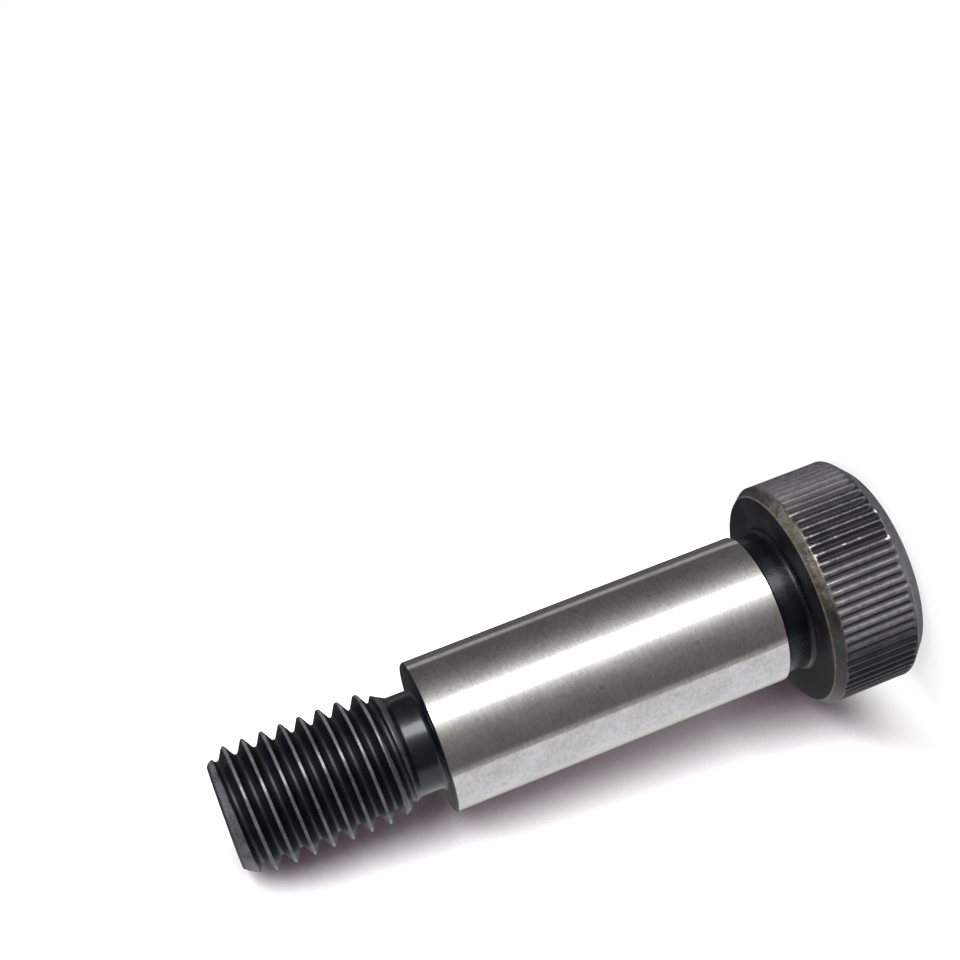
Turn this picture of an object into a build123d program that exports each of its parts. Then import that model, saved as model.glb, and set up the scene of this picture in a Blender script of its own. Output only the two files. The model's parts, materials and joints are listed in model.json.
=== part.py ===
from build123d import *
import math
import os

# Shoulder bolt: one turned and headed piece. It stands on its head: z = 0 is the face with the
# hexagon socket, +Z runs along the axis to the thread's tip. Millimetres.

# Ground shoulder, measured from the head's bearing face to the shoulder's end face.
shoulder_dia = 12.0
shoulder_length = 30.0
shoulder_edge = 0.12        # sharp corners broken by hand

# Head. Its diameter is over the crests of the knurl.
head_dia = 18.2
head_height = 8.0
head_chamfer = 1.15         # 45 degree chamfer round the socket face
bearing_step_in = 0.6       # how far the bearing face's rim lies inside the crests
bearing_step_height = 0.75  # height of the bevel between that rim and the knurl

# Straight knurl.
knurl_ridges = 72
knurl_depth = 0.25
knurl_land_share = 0.24     # a ridge's top, as a share of the pitch
knurl_end_gap = 0.1         # plain rim left between the grooves and either bevel

# Hexagon socket.
socket_across_flats = 6.0
socket_depth = 5.0          # full hexagon, from the socket face
socket_lead_in = 0.25       # how far the countersink passes the hexagon's corners
socket_cone_angle = 120.0   # drilled bottom and countersink, included angle

# Turned neck between the bearing face and the ground length.
neck_width = 2.25
neck_relief = 0.4           # how far it lies below the shoulder
neck_corner = 0.26          # 45 degree corner against the bearing face

# Thread: M10 x 1.5, right hand, measured from the shoulder's end face to the tip.
thread_dia = 10.0
thread_pitch = 1.5
thread_length = 16.2
thread_crest_share = 0.125  # a crest's flat, as a share of the pitch
thread_root_share = 0.16    # a groove's bottom, as a share of the pitch
thread_start = 1.865        # middle of the first groove at azimuth 0, from the end face
tip_chamfer_angle = 30.0    # of the tip's chamfer to the axis

# Relief groove between the shoulder's end face and the thread.
groove_width = 2.0          # at full depth
groove_below_root = 0.13    # how far the groove's bottom lies below the thread's root
groove_corner = 0.33        # 45 degree corner against the end face
groove_ramp_angle = 30.0    # of its far wall to the axis, over which the thread runs out

METRIC_THREAD_DEPTH = 0.61343    # depth of an external metric thread, as a share of its pitch


def thread_root_radius():
    """Radius at the bottom of the thread."""
    return thread_dia / 2 - METRIC_THREAD_DEPTH * thread_pitch


def outline_corners():
    """Corners of half the bolt's section from the socket face up to the tip: radius and height."""
    head = head_dia / 2
    neck = shoulder_dia / 2 - neck_relief
    shoulder = shoulder_dia / 2
    thread = thread_dia / 2
    root = thread_root_radius()
    groove = root - groove_below_root
    bearing_z = head_height
    end_face_z = bearing_z + shoulder_length
    tip_z = end_face_z + thread_length
    groove_z = end_face_z + groove_width
    ramp_height = (thread - groove) / math.tan(math.radians(groove_ramp_angle))
    chamfer_height = (thread - root) / math.tan(math.radians(tip_chamfer_angle))
    return [
        (head - head_chamfer, 0),
        (head, head_chamfer),
        (head, bearing_z - bearing_step_height),
        (head - bearing_step_in, bearing_z),
        (neck + neck_corner, bearing_z),
        (neck, bearing_z + neck_corner),
        (neck, bearing_z + neck_width),
        (shoulder - shoulder_edge, bearing_z + neck_width),
        (shoulder, bearing_z + neck_width + shoulder_edge),
        (shoulder, end_face_z - shoulder_edge),
        (shoulder - shoulder_edge, end_face_z),
        (groove + groove_corner, end_face_z),
        (groove, end_face_z + groove_corner),
        (groove, groove_z),
        (thread, groove_z + ramp_height),
        (thread, tip_z - chamfer_height),
        (root, tip_z),
    ]


def turned_blank():
    """The bolt's outer form, turned about its axis, with the head and the thread still plain."""
    corners = outline_corners()
    bottom, top = (0, corners[0][1]), (0, corners[-1][1])
    outline = Polyline(bottom, *corners, top, close=True)
    return revolve(Plane.XZ * make_face(outline), Axis.Z)


def thread_grooves():
    """What the die takes out: a helical groove, in cutters of one turn set end to end."""
    crest = thread_dia / 2
    root = thread_root_radius()
    half_root = thread_pitch * thread_root_share / 2
    half_mouth = thread_pitch * (1 - thread_crest_share) / 2
    flare = (half_mouth - half_root) / (crest - root)
    rim = crest + thread_pitch / 40      # just past the crests, short of where turns would meet
    half_rim = half_root + flare * (rim - root)
    corners = [(root, -half_root), (rim, -half_rim), (rim, half_rim), (root, half_root)]
    profile = Plane.XZ * make_face(Polyline(*corners, close=True))
    turn = sweep(profile, path=Helix(thread_pitch, thread_pitch, root), is_frenet=True)
    first = head_height + shoulder_length + thread_start
    turns = math.ceil((thread_length - thread_start) / thread_pitch) + 1
    return [Pos(0, 0, first + number * thread_pitch) * turn for number in range(turns)]


def knurl_grooves():
    """What the knurling roll presses in: one V groove for each ridge, closed at both ends."""
    crest = head_dia / 2
    root = crest - knurl_depth
    pitch = 2 * math.pi * crest / knurl_ridges
    half_mouth = pitch * (1 - knurl_land_share) / 2
    rim = crest + knurl_depth            # the flanks run on past the crests
    half_rim = half_mouth * (rim - root) / knurl_depth
    corners = [(root, 0), (rim, -half_rim), (rim, half_rim)]
    low = head_chamfer + knurl_end_gap
    high = head_height - bearing_step_height - knurl_end_gap
    groove = Pos(0, 0, low) * extrude(make_face(Polyline(*corners, close=True)), amount=high - low)
    first = Rot(0, 0, 180 / knurl_ridges)
    return [Rot(0, 0, 360 * ridge / knurl_ridges) * first * groove for ridge in range(knurl_ridges)]


def hexagon_socket():
    """The socket's hollow: a hexagon, its countersink and the drilled cone at its bottom."""
    flat_radius = socket_across_flats / 2
    corner_radius = flat_radius / math.cos(math.pi / 6)
    half_angle = math.radians(socket_cone_angle / 2)
    hexagon = extrude(RegularPolygon(flat_radius, 6, major_radius=False), amount=socket_depth)
    cone_height = flat_radius / math.tan(half_angle)
    bottom = Pos(0, 0, socket_depth + cone_height / 2) * Cone(flat_radius, 0, cone_height)
    mouth_radius = corner_radius + socket_lead_in
    mouth_height = mouth_radius / math.tan(half_angle)
    countersink = Pos(0, 0, mouth_height / 2) * Cone(mouth_radius, 0, mouth_height)
    return hexagon + bottom + countersink


def shoulder_bolt():
    """The finished bolt, one solid."""
    return turned_blank() - thread_grooves() - knurl_grooves() - hexagon_socket()


os.makedirs("parts", exist_ok=True)
bolt = shoulder_bolt()
export_step(bolt, "parts/shoulder_bolt.step")
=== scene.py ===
"""Looks of a shoulder bolt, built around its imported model.

The bolt is one turned piece. Its visible surface is made here as four sub-assemblies that meet
edge to edge: the knurled head with its hexagon socket, the neck, the ground shoulder, and the
thread with its relief groove. Lengths are millimetres unless a name says otherwise.
"""

import json
import logging
import math
from dataclasses import dataclass, field
from enum import Enum
from typing import Any, Sequence, Union

import bmesh
import bpy
import numpy as np
from mathutils import Matrix, Vector

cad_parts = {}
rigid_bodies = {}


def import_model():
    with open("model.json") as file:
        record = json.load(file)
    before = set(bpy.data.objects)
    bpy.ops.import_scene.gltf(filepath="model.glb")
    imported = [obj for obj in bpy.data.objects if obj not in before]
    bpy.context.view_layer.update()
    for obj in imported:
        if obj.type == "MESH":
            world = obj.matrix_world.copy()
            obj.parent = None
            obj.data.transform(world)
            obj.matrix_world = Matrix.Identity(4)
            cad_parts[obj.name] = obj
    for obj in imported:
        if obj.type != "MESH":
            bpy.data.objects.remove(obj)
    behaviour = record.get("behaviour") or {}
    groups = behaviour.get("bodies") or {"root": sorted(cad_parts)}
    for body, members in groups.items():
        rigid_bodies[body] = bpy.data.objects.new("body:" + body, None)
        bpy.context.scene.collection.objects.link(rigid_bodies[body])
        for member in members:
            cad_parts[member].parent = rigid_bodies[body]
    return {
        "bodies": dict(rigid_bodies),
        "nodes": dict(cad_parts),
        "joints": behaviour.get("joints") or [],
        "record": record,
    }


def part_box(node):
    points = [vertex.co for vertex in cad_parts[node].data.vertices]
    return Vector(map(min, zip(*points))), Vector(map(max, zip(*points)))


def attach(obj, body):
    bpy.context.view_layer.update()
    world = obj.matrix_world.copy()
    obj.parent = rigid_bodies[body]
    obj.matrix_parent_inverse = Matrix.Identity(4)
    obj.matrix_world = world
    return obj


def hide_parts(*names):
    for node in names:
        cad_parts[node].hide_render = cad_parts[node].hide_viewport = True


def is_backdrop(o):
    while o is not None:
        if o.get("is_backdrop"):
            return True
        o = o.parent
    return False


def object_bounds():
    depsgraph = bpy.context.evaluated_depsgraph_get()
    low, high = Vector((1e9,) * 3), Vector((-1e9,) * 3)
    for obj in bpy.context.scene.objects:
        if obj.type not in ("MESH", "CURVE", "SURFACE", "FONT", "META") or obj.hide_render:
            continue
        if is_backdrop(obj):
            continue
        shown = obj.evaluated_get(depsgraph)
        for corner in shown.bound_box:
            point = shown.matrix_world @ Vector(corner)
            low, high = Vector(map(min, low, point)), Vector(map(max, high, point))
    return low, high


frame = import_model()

LOG = logging.getLogger("shoulder_bolt")
MM = 0.001
WELD_M = 2e-8               # points nearer to each other than this are one
THREAD_DEPTH = 0.61343      # depth of an external metric thread, as a share of its pitch
PATINA_TURN = math.radians(22)      # from the camera's side to the head's most worn side
BODY = "root"
NODE = "shoulder_bolt"

Colour = tuple[float, float, float]
Number = Union[int, float]
Span = tuple[float, float]
Point = tuple[float, float]

WHITE: Colour = (1.0, 1.0, 1.0)


class Slot(Enum):
    """The record's material slots."""

    BLACK = "black_steel"
    GROUND = "ground_steel"


# --------------------------------------------------------------------------------------------
# Shader graphs
# --------------------------------------------------------------------------------------------


class Wire:
    """A shader socket that carries a number and takes part in arithmetic."""

    def __init__(self, graph: "Graph", socket: bpy.types.NodeSocket) -> None:
        """Wraps a socket.

        Args:
            graph: the graph that the socket belongs to.
            socket: the output socket.
        """
        self.graph = graph
        self.socket = socket

    def _math(self, operation: str, *terms: "Wire | Number", clamp: bool = False) -> "Wire":
        """Adds one Math node.

        Args:
            operation: the node's operation.
            terms: its inputs in order.
            clamp: whether the result is held between 0 and 1.

        Returns:
            The node's result.
        """
        settings = {"operation": operation, "use_clamp": clamp}
        return self.graph.add("ShaderNodeMath", settings, dict(enumerate(terms)))

    def __add__(self, other: "Wire | Number") -> "Wire":
        """Sum."""
        return self._math("ADD", self, other)

    def __radd__(self, other: Number) -> "Wire":
        """Sum, reflected."""
        return self._math("ADD", other, self)

    def __sub__(self, other: "Wire | Number") -> "Wire":
        """Difference."""
        return self._math("SUBTRACT", self, other)

    def __rsub__(self, other: Number) -> "Wire":
        """Difference, reflected."""
        return self._math("SUBTRACT", other, self)

    def __mul__(self, other: "Wire | Number") -> "Wire":
        """Product."""
        return self._math("MULTIPLY", self, other)

    def __rmul__(self, other: Number) -> "Wire":
        """Product, reflected."""
        return self._math("MULTIPLY", other, self)

    def __truediv__(self, other: "Wire | Number") -> "Wire":
        """Quotient."""
        return self._math("DIVIDE", self, other)

    def __neg__(self) -> "Wire":
        """Opposite."""
        return self._math("MULTIPLY", self, -1.0)

    def __abs__(self) -> "Wire":
        """Size without sign."""
        return self._math("ABSOLUTE", self)

    def clamped(self) -> "Wire":
        """Held between 0 and 1."""
        return self._math("ADD", self, 0.0, clamp=True)

    def either(self, other: "Wire | Number") -> "Wire":
        """The larger of two values."""
        return self._math("MAXIMUM", self, other)

    def rise(self, low: float, high: float) -> "Wire":
        """Smooth step.

        Args:
            low: the value at which the step starts from 0.
            high: the value at which it has reached 1.

        Returns:
            The step, between 0 and 1.
        """
        settings = {"interpolation_type": "SMOOTHSTEP", "clamp": True}
        inputs = {"Value": self, "From Min": low, "From Max": high, "To Min": 0.0, "To Max": 1.0}
        return self.graph.add("ShaderNodeMapRange", settings, inputs)

    def fall(self, low: float, high: float) -> "Wire":
        """Smooth step down from 1 at low to 0 at high."""
        return 1.0 - self.rise(low, high)

    def band(self, low: float, high: float, soft: float) -> "Wire":
        """A plateau.

        Args:
            low: where the plateau starts.
            high: where it ends.
            soft: the width of each of its two slopes, outside the plateau.

        Returns:
            1 between low and high, 0 away from them.
        """
        return self.rise(low - soft, low) * self.fall(high, high + soft)

    def exp(self) -> "Wire":
        """Natural exponential."""
        return self._math("EXPONENT", self)

    def atan2(self, other: "Wire") -> "Wire":
        """Angle of the point whose height is this value and whose run is the other, in radians."""
        return self._math("ARCTAN2", self, other)

    def cosine(self) -> "Wire":
        """Cosine of an angle in radians."""
        return self._math("COSINE", self)

    def root(self) -> "Wire":
        """Square root."""
        return self._math("SQRT", self)

    def at_least(self, floor: float) -> "Wire":
        """Squeezed from the range 0 to 1 into floor to 1."""
        return self * (1 - floor) + floor

    def sibling(self, output: str) -> "Wire":
        """Another output of the same node."""
        return Wire(self.graph, self.socket.node.outputs[output])


@dataclass
class Place:
    """Where a shading point is: on the bolt's axis system, in millimetres and radians."""

    x: Wire
    y: Wire
    height: Wire
    radius: Wire
    angle: Wire

    def point(self) -> Wire:
        """The place as one vector."""
        return self.x.graph.vector(self.x, self.y, self.height)

    def stretched(self, across: float, along: float) -> Wire:
        """The place as one vector, scaled across and along the axis."""
        return self.x.graph.vector(self.x * across, self.y * across, self.height * along)

    def toward(self, azimuth: float) -> Wire:
        """How far the place lies from the axis in a direction round it."""
        return self.x * math.cos(azimuth) + self.y * math.sin(azimuth)


class Graph:
    """Nodes of one material or world."""

    def __init__(self, tree: bpy.types.NodeTree) -> None:
        """Empties a tree and takes it over.

        Args:
            tree: the node tree.
        """
        self.tree = tree
        tree.nodes.clear()

    def add(self, kind: str, settings: dict[str, Any], inputs: dict[Any, Any], output: Any = 0) -> Wire:
        """Adds a node, sets it up and links it.

        Args:
            kind: the node's type.
            settings: its properties, set before its sockets.
            inputs: values or wires, by socket name or number.
            output: name or number of the socket to return.

        Returns:
            The wrapped output socket.
        """
        node = self.tree.nodes.new(kind)
        for name, value in settings.items():
            setattr(node, name, value)
        for name, value in inputs.items():
            if isinstance(value, Wire):
                self.tree.links.new(value.socket, node.inputs[name])
            else:
                node.inputs[name].default_value = value
        return Wire(self, node.outputs[output])

    def place(self) -> Place:
        """Splits the object position into the bolt's cylinder coordinates.

        Returns:
            The shading point's place.
        """
        position = self.add("ShaderNodeTexCoord", {}, {}, "Object")
        split = self.add("ShaderNodeSeparateXYZ", {}, {0: position}, "X")
        x, y, z = (split.sibling(axis) * (1 / MM) for axis in "XYZ")
        return Place(x, y, z, (x * x + y * y).root(), y.atan2(x))

    def vector(self, x: Wire | Number, y: Wire | Number, z: Wire | Number) -> Wire:
        """Joins three values into a vector."""
        return self.add("ShaderNodeCombineXYZ", {}, {0: x, 1: y, 2: z})

    def noise(self, where: Wire, scale: float, detail: float, roughness: float) -> Wire:
        """Fractal noise.

        Args:
            where: the vector at which it is read.
            scale: cycles per unit of the vector.
            detail: number of octaves.
            roughness: share of each finer octave.

        Returns:
            Noise centred on 0.5.
        """
        inputs = {"Vector": where, "Scale": scale, "Detail": detail, "Roughness": roughness}
        return self.add("ShaderNodeTexNoise", {"noise_dimensions": "3D"}, inputs, "Fac")

    def cells(self, where: Wire, scale: float) -> Wire:
        """Distance to the nearest of scattered points."""
        inputs = {"Vector": where, "Scale": scale, "Randomness": 1.0}
        return self.add("ShaderNodeTexVoronoi", {"feature": "F1"}, inputs, "Distance")

    def blend(self, share: Wire, first: Wire | Colour, second: Wire | Colour) -> Wire:
        """Mixes two colours.

        Args:
            share: 0 for the first colour, 1 for the second.
            first: a colour.
            second: a colour.

        Returns:
            The mixed colour.
        """
        settings = {"data_type": "RGBA", "clamp_factor": True}
        node_inputs = {0: share, 6: _rgba(first), 7: _rgba(second)}
        return self.add("ShaderNodeMix", settings, node_inputs, 2)

    def bump(self, height: Wire, distance: float) -> Wire:
        """Relief for a Normal socket.

        Args:
            height: the relief, 1 being one distance high.
            distance: that distance in millimetres.

        Returns:
            The disturbed normal.
        """
        inputs = {"Height": height, "Distance": distance * MM, "Strength": 1.0}
        return self.add("ShaderNodeBump", {}, inputs)

    def principled(self, inputs: dict[str, Any]) -> Wire:
        """Principled shader with the given sockets."""
        return self.add("ShaderNodeBsdfPrincipled", {}, inputs)

    def diffuse(self, colour: Wire | Colour) -> Wire:
        """Matt shader."""
        return self.add("ShaderNodeBsdfDiffuse", {}, {"Color": _rgba(colour)})

    def emission(self, colour: Wire | Colour, strength: Wire | Number = 1.0) -> Wire:
        """Shader that gives off light."""
        return self.add("ShaderNodeEmission", {}, {"Color": _rgba(colour), "Strength": strength})

    def background(self, colour: Colour, strength: float) -> Wire:
        """Shader for a world."""
        return self.add("ShaderNodeBackground", {}, {"Color": _rgba(colour), "Strength": strength})

    def mix(self, share: Wire | Number, first: Wire, second: Wire) -> Wire:
        """Mixes two shaders: 0 for the first, 1 for the second."""
        return self.add("ShaderNodeMixShader", {}, {0: share, 1: first, 2: second})

    def seen(self) -> Wire:
        """Tells what the camera sees, straight or by reflection, from what only lights.

        Returns:
            1 for camera, glossy and transmission rays, 0 for the rest.
        """
        camera = self.add("ShaderNodeLightPath", {}, {}, "Is Camera Ray")
        return camera.either(camera.sibling("Is Glossy Ray")).either(camera.sibling("Is Transmission Ray"))

    def finish(self, shader: Wire, kind: str = "ShaderNodeOutputMaterial") -> None:
        """Adds the output node and links a shader to it."""
        node = self.tree.nodes.new(kind)
        self.tree.links.new(shader.socket, node.inputs["Surface"])


def _rgba(colour: Wire | Colour) -> Wire | tuple[float, float, float, float]:
    """Gives a plain colour its alpha, and passes a wire through."""
    return colour if isinstance(colour, Wire) else (*colour, 1.0)


def new_material(name: str) -> tuple[bpy.types.Material, Graph]:
    """Makes an empty node material.

    Args:
        name: its name.

    Returns:
        The material and its graph.
    """
    material = bpy.data.materials.new(name)
    material.use_nodes = True
    return material, Graph(material.node_tree)


# --------------------------------------------------------------------------------------------
# Finishes
# --------------------------------------------------------------------------------------------


@dataclass(frozen=True)
class GroundSteel:
    """Bright steel, ground between centres: fine marks run round the shoulder."""

    metal: Colour = (0.58, 0.573, 0.587)
    stain: Colour = (0.42, 0.41, 0.41)
    roughness: float = 0.085
    mark_depth: float = 0.0008
    ring_marks: Span = (0.8, 6.0)       # fineness across and along the axis
    short_marks: Span = (2.6, 3.6)
    clouds: Span = (1.0, 0.8)
    speck_edge: Span = (0.05, 0.12)     # distance from a speck's middle over which it fades
    stained: float = 0.4                # share of stain before its unevenness
    cloud_stain: float = 1.8
    grain_stain: float = 2.2
    ring_stain: float = 1.0
    speck_stain: float = 1.1
    dulling: float = 0.07               # added roughness in a cloud, and change of it by the grain

    def build(self) -> bpy.types.Material:
        """Makes the material.

        Returns:
            The material.
        """
        material, graph = new_material("ground_steel")
        place = graph.place()
        rings = graph.noise(place.stretched(*self.ring_marks), 1.0, 4.0, 0.65)
        grain = graph.noise(place.stretched(*self.short_marks), 1.0, 4.0, 0.7)
        cloud = graph.noise(place.stretched(*self.clouds), 0.55, 4.0, 0.6)
        speck = graph.cells(place.point(), 0.45).fall(*self.speck_edge)
        uneven = self.cloud_stain * (cloud - 0.5) + self.grain_stain * (grain - 0.5)
        uneven = uneven + self.ring_stain * (rings - 0.5) + self.speck_stain * speck
        roughness = self.roughness + cloud.rise(0.35, 0.75) * self.dulling + (grain - 0.5) * self.dulling
        inputs = {
            "Base Color": graph.blend((uneven + self.stained).clamped(), self.metal, self.stain),
            "Metallic": 1.0,
            "Roughness": roughness.clamped(),
            "Normal": graph.bump(rings * 0.45 + grain * 0.55, self.mark_depth),
        }
        graph.finish(graph.principled(inputs))
        return material


@dataclass
class Texture:
    """What a black finish varies with: the place, and broad and fine noise there."""

    graph: Graph
    place: Place
    cloud: Wire
    grain: Wire

    def patches(self, fineness: float, edge: Span) -> Wire:
        """Scattered patches.

        Args:
            fineness: 0 for broad patches, 1 for fine ones.
            edge: values of the mixed noise between which a patch starts and is full.

        Returns:
            1 inside the patches, 0 outside.
        """
        return (self.cloud * (1 - fineness) + self.grain * fineness).rise(*edge)


@dataclass(frozen=True)
class BlackOxide:
    """Steel blackened in hot salts and oiled."""

    name: str
    film: Colour = (0.0012, 0.0018, 0.0032)
    bloom: Colour = (0.0035, 0.0045, 0.0068)
    bare: Colour = (0.30, 0.29, 0.28)
    roughness: float = 0.34
    ior: float = 1.5
    gloss_tint: Colour = (0.84, 0.91, 1.0)
    grain_depth: float = 0.004
    oil_depth: float = 0.0
    bloom_edge: Span = (0.4, 0.75)      # broad noise between which the film blooms
    thin_edge: Span = (0.78, 0.9)       # noise between which the film is thin
    unevenness: Span = (0.18, 0.10)     # change of roughness by broad and fine noise

    def build(self) -> bpy.types.Material:
        """Makes the material.

        Returns:
            The material.
        """
        material, graph = new_material(self.name)
        place = graph.place()
        where = place.point()
        cloud = graph.noise(where, 0.7, 4.0, 0.6)
        grain = graph.noise(where, 6.0, 4.0, 0.6)
        texture = Texture(graph, place, cloud, grain)
        film = graph.blend(cloud.rise(*self.bloom_edge), self.film, self.bloom)
        wear = self.wear(texture)
        by_cloud, by_grain = self.unevenness
        roughness = self.matt(place) + (cloud - 0.5) * by_cloud + (grain - 0.5) * by_grain
        relief = grain + cloud * (self.oil_depth / self.grain_depth)
        inputs = {
            "Base Color": self.worn_colour(texture, film, wear),
            "Metallic": wear,
            "Roughness": roughness.clamped(),
            "IOR": self.ior,
            "Specular Tint": _rgba(self.gloss_tint),
            "Normal": graph.bump(relief, self.grain_depth),
        }
        graph.finish(graph.principled(inputs))
        return material

    def matt(self, place: Place) -> Wire | float:
        """Roughness before its unevenness, here the same everywhere."""
        return self.roughness

    def wear(self, texture: Texture) -> Wire:
        """Where bare steel shows through, from 0 to 1."""
        return texture.patches(0.4, self.thin_edge) * 0.2

    def worn_colour(self, texture: Texture, film: Wire, wear: Wire) -> Wire:
        """Colour of film and bare steel together."""
        return texture.graph.blend(wear, film, self.bare)


class Patch(Enum):
    """Patches round the head, of wear and of painted sheen: degrees from the patina's middle, and cosines
    at their edge.
    """

    PATINA = (0.0, (0.72, 0.97))
    BRIGHT = (6.0, (0.97, 0.998))
    SHEEN_SIDE = (-38.0, (0.88, 0.98))
    CROWN_SHEEN = (43.0, (0.90, 0.985))


@dataclass(frozen=True)
class KnurledOxide(BlackOxide):
    """Black oxide on the head, rubbed through on the knurl's crests and round the bearing bevel, and
    painted grey as sheen on one side of the ridges, on the socket face's chamfer and on a stretch of the
    side.

    Edges in depth are measured down from the crests, and edges in height up from the bevel's
    lower edge.
    """

    film: Colour = (0.0048, 0.0046, 0.0062)
    bloom: Colour = (0.0125, 0.0120, 0.0155)
    bare: Colour = (0.30, 0.285, 0.315)
    patina: Colour = (0.185, 0.155, 0.075)
    # grey of the painted sheen
    sheen_grey: Colour = (0.119, 0.116, 0.129)
    roughness: float = 0.32
    ior: float = 1.42
    gloss_tint: Colour = (0.97, 0.95, 1.0)
    patina_angle: float = 0.0
    crest_radius: float = 9.1
    rim_radius: float = 8.5
    bevel_start: float = 7.25
    chamfer: float = 1.15
    groove_depth: float = 0.25
    groove_dulling: float = 0.26
    crest_depth: Span = (0.07, 0.015)       # rubbed bare
    ridge_depth: Span = (0.21, 0.06)        # painted sheen on the ridges
    near_end: Span = (-1.6, -0.2)           # where crests are rubbed more towards the bevel
    far_end: Span = (-6.1, -5.2)            # and less towards the socket face
    nick_edge: Span = (0.10, 0.24)          # distance from a nick's middle over which it fades
    rim_width: Span = (0.02, 0.14)          # worn line round the bearing face, past its rim
    bright_middle: float = 0.45             # bare steel added in the middle of the bevel's patch
    bevel_wear: float = 0.5
    rim_wear: float = 0.35
    ridge_sheen: float = 0.95
    crown_sheen_share: float = 0.42
    face_sheen: float = 0.5                 # painted sheen on the socket face's chamfer
    face_sheen_side: float = 0.2            # more of it on the ridges' side of painted sheen

    def below_crest(self, place: Place, foot: float, top: float) -> Wire:
        """Smooth step from 0 at foot to 1 at top, both depths below the crests."""
        return place.radius.rise(self.crest_radius - foot, self.crest_radius - top)

    def above_bevel(self, place: Place, low: float, high: float) -> Wire:
        """Smooth step from 0 at low to 1 at high, both heights above the bevel's lower edge."""
        return place.height.rise(self.bevel_start + low, self.bevel_start + high)

    def patch(self, place: Place, patch: Patch) -> Wire:
        """1 on a worn patch round the head, 0 away from it."""
        turn, edge = patch.value
        return (place.angle - (self.patina_angle + math.radians(turn))).cosine().rise(*edge)

    def matt(self, place: Place) -> Wire | float:
        """Roughness, more down in the knurl's grooves.

        Args:
            place: the shading point.

        Returns:
            The roughness.
        """
        groove = 1.0 - self.below_crest(place, self.groove_depth * 0.7, self.groove_depth * 0.15)
        knurled = 1.0 - self.above_bevel(place, -0.1, 0.0)
        return self.roughness + groove * knurled * self.groove_dulling

    def wear(self, texture: Texture) -> Wire:
        """Bare steel on crests and bevel, most on the patina's side."""
        side = self.patch(texture.place, Patch.PATINA).at_least(0.08)
        return (self.rubbed_crests(texture, side) + self.rubbed_bevel(texture, side)).clamped()

    def rubbed_crests(self, texture: Texture, side: Wire) -> Wire:
        """Bare steel along the crests, with a few bright nicks.

        Args:
            texture: what the finish varies with.
            side: share of wear round the head.

        Returns:
            The mask.
        """
        place = texture.place
        crest = self.below_crest(place, *self.crest_depth)
        near_end = self.above_bevel(place, *self.near_end).at_least(0.3)
        far_end = self.above_bevel(place, *self.far_end).at_least(0.15)
        patchy = texture.patches(0.6, (0.40, 0.58))
        nicks = texture.graph.cells(place.point(), 0.75).fall(*self.nick_edge)
        rubbed = crest * near_end * far_end * patchy * (side * 0.7 + 0.05)
        return rubbed.either(crest * nicks * side)

    def rubbed_bevel(self, texture: Texture, side: Wire) -> Wire:
        """Bare steel in blotches over the bevel, and as a line round the bearing face's rim.

        Args:
            texture: what the finish varies with.
            side: share of wear round the head.

        Returns:
            The mask.
        """
        place, rim = texture.place, self.rim_radius
        inner, outer = self.rim_width
        bevel = self.above_bevel(place, -0.3, 0.1) * place.radius.rise(rim - inner, rim + inner)
        middle = self.patch(place, Patch.BRIGHT) * self.bright_middle
        blotch = (texture.patches(0.4, (0.38, 0.62)) + middle).clamped()
        line = bevel * place.radius.fall(rim + inner, rim + outer)
        return bevel * blotch * side * self.bevel_wear + line * self.rim_wear

    def painted_sheen(self, texture: Texture) -> Wire:
        """Painted sheen: film painted grey where reflected light or light from above would brighten it.

        Args:
            texture: what the finish varies with.

        Returns:
            The mask: ridges on one side, the socket face's chamfer, and one stretch of the side.
        """
        place = texture.place
        ridge = self.below_crest(place, *self.ridge_depth) * (1.0 - self.above_bevel(place, -0.2, 0.0))
        # Painted sheen: the side patch greys ridges and chamfer where reflected light would brighten them,
        # the crown patch a stretch where light from above would.
        side = self.patch(place, Patch.SHEEN_SIDE)
        end = place.height.fall(self.chamfer, self.chamfer + 0.1)
        crown_sheen = self.patch(place, Patch.CROWN_SHEEN) * (1.0 - self.above_bevel(place, -0.4, 0.1))
        face = end * (side * self.face_sheen_side + self.face_sheen)
        share = (ridge * side * self.ridge_sheen).either(face).either(crown_sheen * self.crown_sheen_share)
        patches = texture.graph.noise(place.point(), 1.9, 5.0, 0.7)
        return share * patches.rise(0.36, 0.62).at_least(0.5)

    def worn_colour(self, texture: Texture, film: Wire, wear: Wire) -> Wire:
        """Film, grey with painted sheen, and bare steel, browned on the bevel.

        Args:
            texture: what the finish varies with.
            film: the film's colour.
            wear: the mask of bare steel.

        Returns:
            The colour.
        """
        graph, place = texture.graph, texture.place
        brown = graph.noise(place.point(), 1.3, 3.0, 0.6).rise(0.38, 0.62).at_least(0.3)
        bevel = self.above_bevel(place, -0.7, 0.0)
        metal = graph.blend(brown * bevel, self.bare, self.patina)
        return graph.blend(wear, graph.blend(self.painted_sheen(texture), film, self.sheen_grey), metal)


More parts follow.
